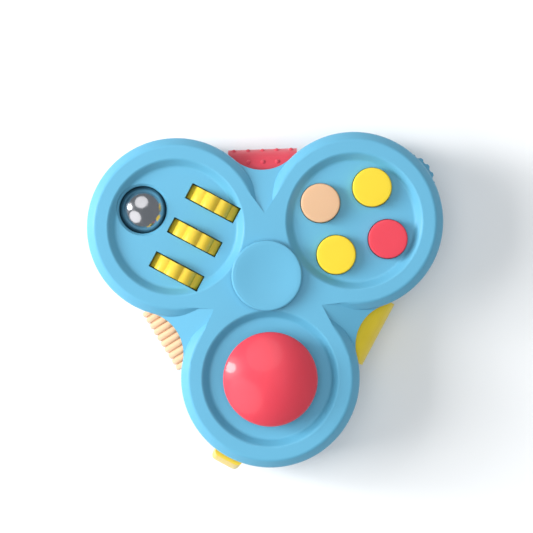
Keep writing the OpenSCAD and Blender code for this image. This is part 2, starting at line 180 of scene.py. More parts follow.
def settle(obj):
    """Round the mesh to a tenth of a micron, so that flats meant to be level are level."""
    for vertex in obj.data.vertices:
        vertex.co = [round(c, 7) for c in vertex.co]
    return obj


def tidy(obj):
    """Merge doubles, join level faces and turn all faces outwards."""
    edit(obj)
    bpy.ops.mesh.remove_doubles(threshold=2e-6)
    bpy.ops.mesh.dissolve_limited(angle_limit=0.002)
    bpy.ops.mesh.normals_make_consistent(inside=False)
    leave()
    return settle(obj)


def put(obj, matrix):
    """Move a drawn shape to its place and keep the place in its mesh."""
    alone(obj)
    obj.matrix_world = matrix @ obj.matrix_world
    bpy.ops.object.transform_apply(location=True, rotation=True, scale=True)
    return settle(obj)


def shift(x=0.0, y=0.0, z=0.0):
    """Matrix that moves by millimetres."""
    return Matrix.Translation((x * MM, y * MM, z * MM))


def turn(degrees, axis="Z"):
    """Matrix that turns by degrees about an axis."""
    return Matrix.Rotation(math.radians(degrees), 4, axis)


def at_lobe(i, u=0.0, v=0.0, z=0.0):
    """Matrix from a lobe's own axes, u outwards and v along the rim."""
    return turn(LOBES[i]) @ shift(u, v, z)


def draw(name, points, closed):
    """Draw a line through points in millimetres, extruding one vertex after another."""
    alone(None)
    first = Vector(points[0]) * MM
    bpy.ops.mesh.primitive_plane_add(size=MM, location=first)
    obj = bpy.context.object
    obj.name = name
    alone(obj)
    bpy.ops.object.transform_apply(location=True, rotation=True, scale=True)
    edit(obj)
    bpy.ops.mesh.merge(type="CENTER")
    line = list(points) + ([points[0]] if closed else [])
    for a, b in zip(line, line[1:]):
        step = (Vector(b) - Vector(a)) * MM
        bpy.ops.mesh.extrude_vertices_move(TRANSFORM_OT_translate={"value": step})
    bpy.ops.mesh.select_all(action="SELECT")
    bpy.ops.mesh.remove_doubles(threshold=1e-7)
    leave()
    return obj


def lathe(name, profile, steps=144, closed=False, axis=(0, 0, 1)):
    """Spin a profile of (radius, height) pairs into a closed round body."""
    if axis[2]:
        points = [(r, 0, z) for r, z in profile]
    else:
        points = [(r, z, 0) for r, z in profile]
    obj = draw(name, points, closed)
    edit(obj)
    bpy.ops.mesh.spin(steps=steps, angle=2 * math.pi, center=(0, 0, 0), axis=axis)
    leave()
    return tidy(obj)


def slab(name, outline, direction):
    """Fill a closed outline and extrude it along a direction, in millimetres."""
    obj = draw(name, outline, True)
    edit(obj)
    bpy.ops.mesh.edge_face_add()
    bpy.ops.mesh.extrude_region_move(
        TRANSFORM_OT_translate={"value": Vector(direction) * MM})
    leave()
    return tidy(obj)


def block(name, low, high):
    """A straight-sided block between two corners, in millimetres."""
    (x0, y0, z0), (x1, y1, z1) = low, high
    alone(None)
    bpy.ops.mesh.primitive_cube_add(
        size=MM, location=((x0 + x1) / 2 * MM, (y0 + y1) / 2 * MM, (z0 + z1) / 2 * MM),
        scale=(x1 - x0, y1 - y0, z1 - z0))
    obj = bpy.context.object
    obj.name = name
    return put(obj, Matrix.Identity(4))


def rod(name, r, z0, z1, steps=64):
    """An upright round bar on the Z axis, in millimetres."""
    alone(None)
    bpy.ops.mesh.primitive_cylinder_add(
        vertices=steps, radius=r * MM, depth=(z1 - z0) * MM, location=(0, 0, (z0 + z1) / 2 * MM))
    obj = bpy.context.object
    obj.name = name
    return put(obj, Matrix.Identity(4))


def join(first, *others):
    """Join objects into the first one."""
    alone(first)
    for other in others:
        other.select_set(True)
    bpy.ops.object.join()
    return first


def combine(piece, tool, operation="DIFFERENCE"):
    """Cut a tool out of a piece, or add it, and throw the tool away."""
    alone(piece)
    step = piece.modifiers.new(operation.title(), "BOOLEAN")
    step.operation = operation
    step.solver = "EXACT"
    step.object = tool
    bpy.ops.object.modifier_apply(modifier=step.name)
    bpy.data.objects.remove(tool)
    if len(piece.data.polygons) < 6:
        raise RuntimeError(f"{piece.name} was lost in a {operation.lower()}")
    return piece


def arc(cx, cy, r, start, end, steps):
    """Points along an arc, its ends included."""
    return [
        (cx + r * math.cos(math.radians(start + (end - start) * k / steps)),
         cy + r * math.sin(math.radians(start + (end - start) * k / steps)))
        for k in range(steps + 1)]


def soften(points, radii, steps=5):
    """Round the corners of a line of (x, y) pairs; radii maps a corner's index to its radius."""
    out = []
    for i, point in enumerate(points):
        if i not in radii:
            out.append(tuple(point))
            continue
        here = Vector(point)
        before, after = Vector(points[i - 1]) - here, Vector(points[(i + 1) % len(points)]) - here
        bend = math.pi - before.angle(after)
        cut = min(radii[i] * math.tan(bend / 2), 0.49 * before.length, 0.49 * after.length)
        a, b = here + before.normalized() * cut, here + after.normalized() * cut
        for k in range(steps + 1):
            t = k / steps
            p = a * (1 - t) ** 2 + here * 2 * t * (1 - t) + b * t * t
            out.append((p.x, p.y))
    return out


def bevel_edges(obj, chosen, width, segments=3):
    """Bevel the edges that chosen() picks by their two end points, in millimetres."""
    edit(obj)
    bpy.ops.mesh.select_all(action="DESELECT")
    leave()
    for edge in obj.data.edges:
        a, b = (obj.data.vertices[k].co / MM for k in edge.vertices)
        edge.select = bool(chosen(a, b))
    bpy.ops.object.mode_set(mode="EDIT")
    bpy.ops.mesh.select_mode(type="EDGE")
    bpy.ops.mesh.bevel(offset=width * MM, segments=segments, profile=0.5, clamp_overlap=True)
    bpy.ops.mesh.select_mode(type="VERT")
    leave()
    return obj


def shade(obj, degrees=32.0):
    """Smooth the round faces, keep the sharp edges and let the large flats lead the shading."""
    alone(obj)
    bpy.ops.object.shade_smooth_by_angle(angle=math.radians(degrees))
    weights = obj.modifiers.new("Flats lead", "WEIGHTED_NORMAL")
    weights.keep_sharp = True
    weights.weight = 50
    bpy.ops.object.modifier_apply(modifier=weights.name)
    return obj


def stand_in(obj, node, body, material, degrees=32.0):
    """Give a finished piece its shading and finish, and let it stand for an engineered part."""
    shade(obj, degrees)
    obj.data.materials.clear()
    obj.data.materials.append(material)
    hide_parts(node)
    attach(obj, body)
    return obj


def copy_of(obj, name):
    """Copy an object together with its own mesh."""
    twin = obj.copy()
    twin.data = obj.data.copy()
    twin.name = name
    bpy.context.scene.collection.objects.link(twin)
    return twin


# ---- finishes ----

def node(tree, kind, x, y, **values):
    """Add a shader node and set its properties."""
    made = tree.nodes.new(kind)
    made.location = (x, y)
    for key, value in values.items():
        setattr(made, key, value)
    return made


def noise(tree, source, scale, detail, x, y, roughness=0.5):
    """Noise on a set of coordinates."""
    grain = node(tree, "ShaderNodeTexNoise", x, y)
    grain.inputs["Scale"].default_value = scale
    grain.inputs["Detail"].default_value = detail
    grain.inputs["Roughness"].default_value = roughness
    tree.links.new(source, grain.inputs["Vector"])
    return grain.outputs["Fac"]


def spread(tree, source, low, high, x, y):
    """Spread a noise's middle range between two values."""
    ramp = node(tree, "ShaderNodeMapRange", x, y)
    ramp.inputs["From Min"].default_value = 0.3
    ramp.inputs["From Max"].default_value = 0.7
    ramp.inputs["To Min"].default_value = low
    ramp.inputs["To Max"].default_value = high
    tree.links.new(source, ramp.inputs["Value"])
    return ramp.outputs["Result"]


def tones(tree, source, colour, swing, x, y):
    """A slow drift between a slightly darker and a slightly lighter tone of one colour."""
    ramp = node(tree, "ShaderNodeValToRGB", x, y)
    ramp.color_ramp.elements[0].position = 0.3
    ramp.color_ramp.elements[1].position = 0.7
    ramp.color_ramp.elements[0].color = [c * (1 - swing) for c in colour] + [1]
    ramp.color_ramp.elements[1].color = [min(1, c * (1 + swing)) for c in colour] + [1]
    tree.links.new(source, ramp.inputs["Fac"])
    return ramp.outputs["Color"]


def surface(name):
    old = bpy.data.materials.get(name)
    if old:
        return old, None, None, None
    material = bpy.data.materials.new(name)
    material.use_nodes = True
    tree = material.node_tree
    shader = tree.nodes["Principled BSDF"]
    place = node(tree, "ShaderNodeTexCoord", -1100, 0).outputs["Object"]
    return material, tree, shader, place


def plastic(name, colour, rough=0.34, swing=0.02, grain=1600.0, depth=0.12, coat=0.0, soft=0.0):
    """Moulded plastic: a slow drift of tone, a fine moulded grain and patchy gloss."""
    material, tree, shader, place = surface(name)
    if tree is None:
        return material
    drift = noise(tree, place, 55.0, 2.0, -850, 250)
    tree.links.new(tones(tree, drift, colour, swing, -550, 250), shader.inputs["Base Color"])
    gloss = noise(tree, place, 240.0, 4.0, -850, 0)
    tree.links.new(spread(tree, gloss, rough - 0.05, rough + 0.06, -550, 0),
                   shader.inputs["Roughness"])
    bump = node(tree, "ShaderNodeBump", -300, -250)
    bump.inputs["Strength"].default_value = depth
    bump.inputs["Distance"].default_value = 0.00006
    tree.links.new(noise(tree, place, grain, 3.0, -850, -250), bump.inputs["Height"])
    tree.links.new(bump.outputs["Normal"], shader.inputs["Normal"])
    shader.inputs["IOR"].default_value = 1.47
    shader.inputs["Coat Weight"].default_value = coat
    shader.inputs["Coat Roughness"].default_value = 0.06
    if soft:
        shader.inputs["Subsurface Weight"].default_value = soft
        shader.inputs["Subsurface Radius"].default_value = (0.0018, 0.0010, 0.0006)
        shader.inputs["Subsurface Scale"].default_value = 1.0
    return material


def rubber(name, colour, rough=0.5):
    """Silicone rubber: duller, with a powdery bloom and a finer, deeper grain."""
    material, tree, shader, place = surface(name)
    if tree is None:
        return material
    drift = noise(tree, place, 140.0, 3.0, -850, 250)
    tree.links.new(tones(tree, drift, colour, 0.05, -550, 250), shader.inputs["Base Color"])
    gloss = noise(tree, place, 500.0, 3.0, -850, 0)
    tree.links.new(spread(tree, gloss, rough - 0.06, rough + 0.1, -550, 0),
                   shader.inputs["Roughness"])
    bump = node(tree, "ShaderNodeBump", -300, -250)
    bump.inputs["Strength"].default_value = 0.3
    bump.inputs["Distance"].default_value = 0.00005
    tree.links.new(noise(tree, place, 2600.0, 2.0, -850, -250), bump.inputs["Height"])
    tree.links.new(bump.outputs["Normal"], shader.inputs["Normal"])
    shader.inputs["IOR"].default_value = 1.41
    shader.inputs["Sheen Weight"].default_value = 0.15
    shader.inputs["Sheen Roughness"].default_value = 0.5
    return material


def metal(name, colour, rough, scratches=0.1):
    """Bright metal: fine turned scratches and slightly uneven polish."""
    material, tree, shader, place = surface(name)
    if tree is None:
        return material
    drift = noise(tree, place, 180.0, 3.0, -850, 250)
    tree.links.new(tones(tree, drift, colour, 0.06, -550, 250), shader.inputs["Base Color"])
    gloss = noise(tree, place, 900.0, 5.0, -850, 0)
    tree.links.new(spread(tree, gloss, rough * 0.7, rough * 1.5, -550, 0),
                   shader.inputs["Roughness"])
    bump = node(tree, "ShaderNodeBump", -300, -250)
    bump.inputs["Strength"].default_value = scratches
    bump.inputs["Distance"].default_value = 0.00002
    tree.links.new(noise(tree, place, 3000.0, 2.0, -850, -250), bump.inputs["Height"])
    tree.links.new(bump.outputs["Normal"], shader.inputs["Normal"])
    shader.inputs["Metallic"].default_value = 1.0
    return material


def shell_plastic():
    return plastic("shell_plastic", bpy.context.scene.pad_colours.shell, rough=0.42, swing=0.018)


def red_plastic():
    return plastic("gloss_red_plastic", bpy.context.scene.pad_colours.red, rough=0.36, swing=0.03,
                   grain=900.0, depth=0.03, coat=0.4, soft=0.15)


def button_plastic(colour, name):
    shade_of = getattr(bpy.context.scene.pad_colours, colour)
    return plastic(name, shade_of, rough=0.4, swing=0.02, soft=0.1)


# ---- body ----

def body_half():
    """Half of the solid body on z = 0: three rounded lobes on a web with hollows and gutters."""
    s = bpy.context.scene.pad_sizes
    dist, r, notch, rim = s.lobe_dist / MM, s.lobe_r / MM, s.notch_r / MM, s.rim_bevel / MM
    drop = s.gutter_drop / MM
    notch_dist = dist / 2 + math.sqrt((r + notch) ** 2 - 3 * dist * dist / 4)
    lean = math.degrees(math.atan2(dist * math.sqrt(3) / 2, notch_dist - dist / 2))
    outline = []
    for lobe, hollow in ((30, 90), (150, 210), (270, 330)):
        a = math.radians(lobe)
        outline.append((dist * math.cos(a), dist * math.sin(a), 0))
        h = math.radians(hollow)
        cx, cy = notch_dist * math.cos(h), notch_dist * math.sin(h)
        outline += [(x, y, 0) for x, y in
                    arc(cx, cy, notch, hollow + 180 + lean, hollow + 180 - lean, 28)]
    web = slab("web", outline, (0, 0, HALF))
    bevel_edges(web, lambda p, q: abs(p.z) < 0.01 and abs(q.z) < 0.01, 0.22, 2)
    start, end = 15.0, notch_dist - notch
    for hollow in HOLLOWS:
        slope = [(start + (end + 6 - start) * k / 14,
                  HALF - drop * (((end + 6 - start) * k / 14) / (end - start)) ** 1.1)
                 for k in range(15)]
        wedge = [(slope[0][0] - 0.2, HALF + 3)] + slope + [(end + 6, HALF + 3)]
        tool = slab("gutter", [(x, -12.5, z) for x, z in wedge], (0, 25, 0))
        fan = [(start, 0, HALF - 8), (start + 18, -12.4, HALF - 8), (start + 18, 12.4, HALF - 8)]
        combine(tool, slab("fan", fan, (0, 0, 16)), "INTERSECT")
        combine(web, put(tool, turn(hollow)))
    profile = soften([(0, 0), (r - 0.22, 0), (r, 0.22), (r, HALF - rim), (r - rim, HALF), (0, HALF)],
                     {3: 1.5, 4: 1.2}, 6)
    lobe = lathe("lobe", profile, 160)
    for i in range(3):
        combine(web, put(copy_of(lobe, "lobe_solid"), at_lobe(i, dist)), "UNION")
    bpy.data.objects.remove(lobe)
    return web


def space(z0, z1):
    """The room inside the body between two heights."""
    s = bpy.context.scene.pad_sizes
    dist, r = s.lobe_dist / MM, s.lobe_r / MM - 1.8
    n = 25.58 - 1.8 - 0.3
    corners = []
    for hollow in HOLLOWS:
        for t in (-12, 12):
            a = math.radians(hollow)
            corners.append((n * math.cos(a) - t * math.sin(a), n * math.sin(a) + t * math.cos(a), z0))
    room = slab("space", corners, (0, 0, z1 - z0))
    for i in range(3):
        combine(room, put(rod("space_lobe", r, z0, z1, 120), at_lobe(i, dist)), "UNION")
    return room


def wall_openings():
    """Cutters for the windows in the side wall: three pads, the dial and the rocker."""
    tools = [put(block("pad_window", (20, -8.5, SPLIT_Z - 5.8), (34, 8.5, SPLIT_Z + 5.8)), turn(a))
             for a in HOLLOWS]
    tools.append(put(rod("dial_slot", 7.9, 8.5, 13.5, 96), dial_place()))
    tools.append(put(block("rocker_window", (-1, -3.95, -5.6), (5, 3.95, 5.6)), rocker_place()))
    return join(*tools)


def dial_place():
    """Where the edge dial's axis stands."""
    return at_lobe(1, LOBE_DIST) @ turn(DIAL_TURN) @ shift(DIAL_DIST)


def rocker_place():
    """Where the rocker's pin sits, x outwards."""
    return at_lobe(2, LOBE_DIST) @ turn(ROCKER_TURN) @ shift(ROCKER_DIST, 0, SPLIT_Z)


def posts(places, r, z0, z1):
    return [put(rod("post", r, z0, z1, 32), place) for place in places]


def plate_posts():
    """Places of the posts under the button plate."""
    return [at_lobe(1, LOBE_DIST) @ turn(a) @ shift(d)
            for a, d in ((75, 12.6), (-105, 12.6), (165, 10))]


def screw_places():
    """Places of the three screws that join the shells."""
    return [turn(a) @ shift(SCREW_DIST) for a in HOLLOWS]


class PAD_OT_front_shell(bpy.types.Operator):
    """Build the front shell with its dishes, slots and holes"""

    bl_idname = "pad.front_shell"
    bl_label = "Front shell"

    def execute(self, context):
        s = context.scene.pad_sizes
        dish, floor = s.dish_r / MM, s.dish_floor_r / MM
        shell = put(body_half(), shift(0, 0, SPLIT_Z))
        shell.name = "front_shell_moulded"
        combine(shell, space(SPLIT_Z - 1, CEIL_Z))
        inside = [rod("boss", 12, SPLIT_Z, CEIL_Z + 0.2, 96)]
        inside += posts(screw_places(), 2.9, SPLIT_Z, CEIL_Z + 0.2)
        inside += posts(plate_posts(), 1.5, 14.9, CEIL_Z + 0.2)
        inside += [put(block("ear", (-1.8, side * 4.6 - 0.6, 0.05), (1.3, side * 4.6 + 0.6, 6.8)),
                       rocker_place()) for side in (-1, 1)]
        for tool in inside:
            combine(shell, tool, "UNION")
        bowl = soften([(0, DISH_Z), (floor, DISH_Z), (dish, FACE_Z), (dish + 1.2, FACE_Z + 0.08),
                       (dish + 1.2, FACE_Z + 2), (0, FACE_Z + 2)], {1: 1.1, 2: 1.3}, 6)
        tool = lathe("dish", bowl, 160)
        for i in range(3):
            combine(shell, put(copy_of(tool, "dish_cut"), at_lobe(i, LOBE_DIST)))
        bpy.data.objects.remove(tool)
        hub = lathe("hub_hole", [(0, SPLIT_Z - 1), (11, SPLIT_Z - 1), (11, BEARING_HI),
                                 (9.4, BEARING_HI), (9.4, BEARING_HI + 0.5), (6, BEARING_HI + 0.5),
                                 (6, FACE_Z - 0.35), (6.35, FACE_Z), (6.6, FACE_Z + 1),
                                 (0, FACE_Z + 1)], 96)
        combine(shell, hub)
        for place in screw_places():
            combine(shell, put(rod("screw_hole", 1, SPLIT_Z - 1, SPLIT_Z + 5, 24), place))
        slot = slab("slot", [(u, -2.05, z) for u, z in (
            (13.15, CEIL_Z - 1), (26.25, CEIL_Z - 1), (26.25, DISH_Z - 0.1), (26.37, DISH_Z + 0.02),
            (26.37, FACE_Z + 0.5), (13.03, FACE_Z + 0.5), (13.03, DISH_Z + 0.02), (13.15, DISH_Z - 0.1))],
            (0, 4.1, 0))
        for v in (-9.3, 0, 9.3):
            combine(shell, put(copy_of(slot, "slot_cut"), at_lobe(0, 0, v)))
        bpy.data.objects.remove(slot)
        neck = math.sqrt(36 - (CEIL_Z - 16.5) ** 2) + 0.1
        well = soften([(0, CEIL_Z - 1), (neck, CEIL_Z - 1), (neck, DISH_Z - 0.6), (neck + 0.6, DISH_Z),
                       (neck + 0.7, FACE_Z), (0, FACE_Z)], {2: 0.8, 3: 0.4}, 4)
        combine(shell, put(lathe("ball_well", well, 120), at_lobe(0, BALL_DIST)))
        hole = lathe("button_hole", [(0, CEIL_Z - 1), (4.8, CEIL_Z - 1), (4.8, DISH_Z - 0.18),
                                     (4.86, DISH_Z - 0.05), (5.0, DISH_Z + 0.02), (5.0, DISH_Z + 1),
                                     (0, DISH_Z + 1)], 80)
        for angle in (120, -60, 30, 210):
            combine(shell, put(copy_of(hole, "button_cut"), button_place(angle)))
        bpy.data.objects.remove(hole)
        combine(shell, put(rod("stick_hole", 5.5, CEIL_Z - 1, DISH_Z + 1, 80), at_lobe(2, LOBE_DIST)))
        combine(shell, wall_openings())
        combine(shell, put(put(rod("pin_hole", 1, -5, 5, 24), turn(90, "X")), rocker_place()))
        stand_in(shell, "front_shell", "housing", shell_plastic(), 28)
        return {"FINISHED"}


def button_place(angle):
    """Place of one push button in the button lobe."""
    return at_lobe(1, LOBE_DIST) @ turn(angle) @ shift(BUTTON_DIST)


class PAD_OT_back_shell(bpy.types.Operator):
    """Build the back shell with its screw wells and inner posts"""

    bl_idname = "pad.back_shell"
    bl_label = "Back shell"

    def execute(self, context):
        shell = put(body_half(), shift(0, 0, SPLIT_Z) @ Matrix.Scale(-1, 4, (0, 0, 1)))
        shell.name = "back_shell_moulded"
        tidy(shell)
        combine(shell, space(DECK_Z, SPLIT_Z + 1))
        inside = [rod("boss", 12, DECK_Z - 0.2, SPLIT_Z, 96)]
        inside += posts(screw_places(), 2.9, DECK_Z - 0.2, SPLIT_Z)
        inside += posts(plate_posts(), 1.5, DECK_Z - 0.2, 13.7)
        inside += posts([at_lobe(0, 19.7, v) for v in (-12.2, 0, 12.2)], 1.5, DECK_Z - 0.2, 6)
        inside += posts([at_lobe(0, BALL_DIST)], 6.4, DECK_Z - 0.2, 11.5)
        inside += posts([dial_place()], 2.6, DECK_Z - 0.2, 8.4)
        inside += posts([at_lobe(2, LOBE_DIST, v) for v in (-6.6, 6.6)], 1.0, DECK_Z - 0.2, DECK_Z + 1.6)
        inside += [put(block("ear", (-1.8, side * 4.6 - 0.6, DECK_Z - 0.2 - SPLIT_Z),
                             (1.3, side * 4.6 + 0.6, -0.05)), rocker_place()) for side in (-1, 1)]
        inside.append(put(block("dial_spring_post",
                                (-10.2, -2.5, DECK_Z - 0.2), (-8.7, 2.5, SPLIT_Z)),
                          dial_place()))
        inside.append(put(block("rocker_spring_post",
                                (-6.6, -2, DECK_Z - 0.2 - SPLIT_Z), (-5.3, 2, 0)),
                          rocker_place()))
        for tool in inside:
            combine(shell, tool, "UNION")
        hub = lathe("hub_hole", [(0, SPLIT_Z + 1), (11, SPLIT_Z + 1), (11, BEARING_LO),
                                 (9.4, BEARING_LO), (9.4, BEARING_LO - 0.5), (6, BEARING_LO - 0.5),
                                 (6, BACK_Z + 0.35), (6.35, BACK_Z), (6.6, BACK_Z - 1),
                                 (0, BACK_Z - 1)], 96)
        combine(shell, hub)
        well = lathe("screw_well", [(0, BACK_Z - 1), (2.7, BACK_Z - 1), (2.7, BACK_Z - 0.02),
                                    (2.4, BACK_Z + 0.28), (2.4, BACK_Z + 3), (1.2, BACK_Z + 3),
                                    (1.2, SPLIT_Z + 1), (0, SPLIT_Z + 1)], 48)
        for place in screw_places():
            combine(shell, put(copy_of(well, "screw_cut"), place))
        bpy.data.objects.remove(well)
        combine(shell, put(rod("cup_bore", 5.28, DECK_Z, 12, 64), at_lobe(0, BALL_DIST)))
        combine(shell, put(rod("axle_bore", 1.25, DECK_Z, 8.8, 32), dial_place()))
        combine(shell, wall_openings())
        combine(shell, put(put(rod("pin_hole", 1, -5, 5, 24), turn(90, "X")), rocker_place()))
        stand_in(shell, "back_shell", "housing", shell_plastic(), 28)
        return {"FINISHED"}


class PAD_OT_hub_caps(bpy.types.Operator):
    """Turn the two dished caps that finger and thumb hold"""

    bl_idname = "pad.hub_caps"
    bl_label = "Thumb and finger caps"

    def execute(self, context):
        finish = plastic("cap_plastic", context.scene.pad_colours.shell, rough=0.36, swing=0.02)
        crown = [(0, 1.15), (2.5, 1.2), (4.6, 1.34), (6.3, 1.52), (7.4, 1.6), (8.5, 1.6), (8.5, 0)]
        for name, cap, low, seat, end, way in (
                ("thumb", "thumb_cap", top_of("thumb_cap") - 1.6, BEARING_HI, SPLIT_Z + 0.1, 1),
                ("finger", "finger_cap", 1.6, BEARING_LO, SPLIT_Z - 0.1, -1)):
            profile = soften([(r, low + way * z) for r, z in crown]
                             + [(5.4, low), (5.4, seat), (4, seat), (4, end), (0, end)],
                             {4: 1.0, 5: 0.6, 6: 0.25}, 5)
            piece = lathe(f"{name}_cap_turned", profile, 128)
            stand_in(piece, cap, "hub", finish)
        return {"FINISHED"}


# ---- rub pads ----

def pad_outline(r, y):
    """Bulged section of a rub pad, from its root to the bulge and back."""
    c = PAD_CENTRE
    line = [(21.8, DECK_Z + 0.3), (23.4, DECK_Z + 0.3),
            (23.4, SPLIT_Z - r + 0.1), (c - 0.2, SPLIT_Z - r)]
    line += arc(c, SPLIT_Z, r, -90, 90, 24)
    line += [(c - 0.2, SPLIT_Z + r), (23.4, SPLIT_Z + r - 0.1),
             (23.4, CEIL_Z - 0.2), (21.8, CEIL_Z - 0.2)]
    return [(x, y, z) for x, z in line]


def plain_pad(name, length):
    """A smooth rub pad with softened ends."""
    pad = slab(name, pad_outline(5.7, -length / 2), (0, length, 0))
    return bevel_edges(pad, lambda p, q: abs(abs(p.y) - length / 2) < 0.01 and abs(p.y - q.y) < 0.01
                       and min(p.x, q.x) > PAD_CENTRE - 0.1, 0.3, 3)


class PAD_OT_rub_pads(bpy.types.Operator):
    """Mould the three rubber pads in the hollows: nubs, ribs and a plain one"""

    bl_idname = "pad.rub_pads"
    bl_label = "Rub pads"

    def execute(self, context):
        c = context.scene.pad_colours
        pad = plain_pad("nubbed_pad_moulded", PAD_LENGTH)
        nub = lathe("nub", arc(0, 0, 0.65, -90, 90, 10), 20)
        nubs = []
        for v in range(-2, 3):
            for a in (-66, -22, 22, 66):
                place = shift(PAD_CENTRE, v * 3.5, SPLIT_Z) @ turn(a, "Y") @ shift(5.45) @ turn(90, "Y")
                nubs.append(put(copy_of(nub, "nub_copy"), place))
        bpy.data.objects.remove(nub)
        combine(pad, join(*nubs), "UNION")
        put(pad, turn(HOLLOWS[0]))
        stand_in(pad, "nubbed_pad", "housing", rubber("red_rubber", c.pad_red), 40)

        ribs = [(0, -8.3)]
        for i in range(10):
            mid = (i - 4.5) * 1.7
            ribs += [(4.9 + 0.8 * math.sqrt(max(0.0, 1 - (w / 0.86) ** 2)), mid + w)
                     for w in (-0.85, -0.8, -0.7, -0.55, -0.35, -0.12, 0.12, 0.35, 0.55, 0.7, 0.8, 0.85)]
        ribs = [(r, max(-8.3, min(8.3, v))) for r, v in ribs] + [(0, 8.3)]
        pad = lathe("ribbed_pad_moulded", ribs, 72, axis=(0, 1, 0))
        edit(pad)
        bpy.ops.mesh.bisect(plane_co=(-0.0005, 0, 0), plane_no=(1, 0, 0), use_fill=True,
                            clear_inner=True, clear_outer=False)
        leave()
        put(pad, shift(PAD_CENTRE, 0, SPLIT_Z))
        back = [(x, y + 0.1, z) for x, y, z in pad_outline(4.8, -8.3)]
        combine(pad, slab("pad_back", back, (0, 16.4, 0)), "UNION")
        put(pad, turn(HOLLOWS[1]))
        stand_in(pad, "ribbed_pad", "housing", rubber("tan_rubber", c.tan), 50)

        pad = put(plain_pad("smooth_pad_moulded", PAD_LENGTH), turn(HOLLOWS[2]))
        stand_in(pad, "smooth_pad", "housing", rubber("yellow_rubber", c.yellow))
        return {"FINISHED"}


# ---- controls ----

class PAD_OT_rollers(bpy.types.Operator):
    """Model one roller with soft lobes and set three of them on the axle"""

    bl_idname = "pad.rollers"
    bl_label = "Rollers"

    def execute(self, context):
        count = context.scene.pad_sizes.roller_lobes
        outline = []
        for k in range(24 * count):
            a = 360.0 * k / (24 * count)
            off = math.radians((a - 84 + 180 / count) % (360 / count) - 180 / count)
            bead = 4.75 * math.cos(off) + math.sqrt(max(0.0, 4.41 - (4.75 * math.sin(off)) ** 2))
            r = math.log(math.exp(9 * bead) + math.exp(9 * 6.02)) / 9
            r = min(r, 6.85)
            outline.append((r * math.cos(math.radians(a)), r * math.sin(math.radians(a)), -1.8))
        wheel = slab("roller_master", outline, (0, 0, 3.6))
        bevel_edges(wheel, lambda p, q: abs(p.z - q.z) < 0.01, 0.28, 3)
        combine(wheel, rod("axle_bore", 1.05, -3, 3, 48))
        put(wheel, turn(90, "X"))
        yellow = context.scene.pad_colours.roller_yellow
        finish = plastic("roller_plastic", yellow, rough=0.33, soft=0.1)
        for letter, v in (("a", -9.3), ("b", 0), ("c", 9.3)):
            roller = put(copy_of(wheel, f"roller_{letter}_wheel"), at_lobe(0, 19.7, v, 16))
            stand_in(roller, f"roller_{letter}", f"roller_{letter}", finish, 35)
        bpy.data.objects.remove(wheel)
        return {"FINISHED"}


class PAD_OT_buttons(bpy.types.Operator):
    """Turn one push button and set four of them in their holes"""

    bl_idname = "pad.buttons"
    bl_label = "Push buttons"

    def execute(self, context):
        top = top_of("button_tan")
        profile = soften([(0, top), (2.6, top - 0.01), (4.0, top - 0.05), (4.7, top - 0.1),
                          (4.7, CEIL_Z - 0.1), (5.3, CEIL_Z - 0.1), (5.3, CEIL_Z - 1.3),
                          (3.7, CEIL_Z - 1.3), (3.7, top - 1.3), (0, top - 1.3)], {3: 0.5, 5: 0.2}, 6)
        master = lathe("button_master", profile, 112)
        for cad, colour, angle in (("button_tan", "tan", 120), ("button_red", "red", -60),
                                   ("button_yellow_outer", "yellow", 30),
                                   ("button_yellow_inner", "yellow", 210)):
            piece = put(copy_of(master, f"{cad}_cap"), button_place(angle))
            slot = "button_yellow" if colour == "yellow" else cad
            stand_in(piece, cad, cad, button_plastic(colour, f"{slot}_plastic"))
        bpy.data.objects.remove(master)
        return {"FINISHED"}


class PAD_OT_edge_dial(bpy.types.Operator):
    """Model the scalloped dial in the rim of the button lobe"""

    bl_idname = "pad.edge_dial"
    bl_label = "Edge dial"

    def execute(self, context):
        teeth = context.scene.pad_sizes.dial_teeth
        outline = []
        for k in range(16 * teeth):
            a = 360.0 * k / (16 * teeth)
            off = math.radians(a % (360 / teeth) - 180 / teeth)
            dip = 0.9025 - (8.0 * math.sin(off)) ** 2
            r = 7.5 if dip <= 0 else min(7.5, 8.0 * math.cos(off) - math.sqrt(dip))
            outline.append((r * math.cos(math.radians(a)), r * math.sin(math.radians(a)), 8.8))
        dial = slab("edge_dial_wheel", outline, (0, 0, 4.4))
        bevel_edges(dial, lambda p, q: abs(p.z - q.z) < 0.01, 0.3, 3)
        combine(dial, rod("dial_bore", 1.3, 7, 15, 48))
        put(dial, dial_place())
        finish = plastic("dial_plastic", context.scene.pad_colours.shell, rough=0.38, swing=0.03)
        stand_in(dial, "edge_dial", "dial", finish, 40)
        return {"FINISHED"}


class PAD_OT_joystick_cap(bpy.types.Operator):
    """Turn the glossy domed cap of the joystick"""

    bl_idname = "pad.joystick_cap"
    bl_label = "Joystick cap"

    def execute(self, context):
        top, low = top_of("joystick_cap"), bottom_of("joystick_cap")
        dome = 17.6
        arch = arc(0, top - dome, dome, 90, 90 - math.degrees(math.asin(11.4 / dome)), 36)
        rim = [(11.4, top - 4.4), (10.9, low + 0.3), (10.3, low), (9.4, low), (9.4, low + 1.4),
               (3.2, low + 1.4), (3.2, top - 2.4), (0, top - 2.4)]
        profile = soften(arch[:-1] + rim, {36: 0.9, 37: 0.6, 38: 0.4}, 6)
        cap = put(lathe("joystick_cap_dome", profile, 160), at_lobe(2, LOBE_DIST))
        stand_in(cap, "joystick_cap", "joystick", red_plastic())
        return {"FINISHED"}


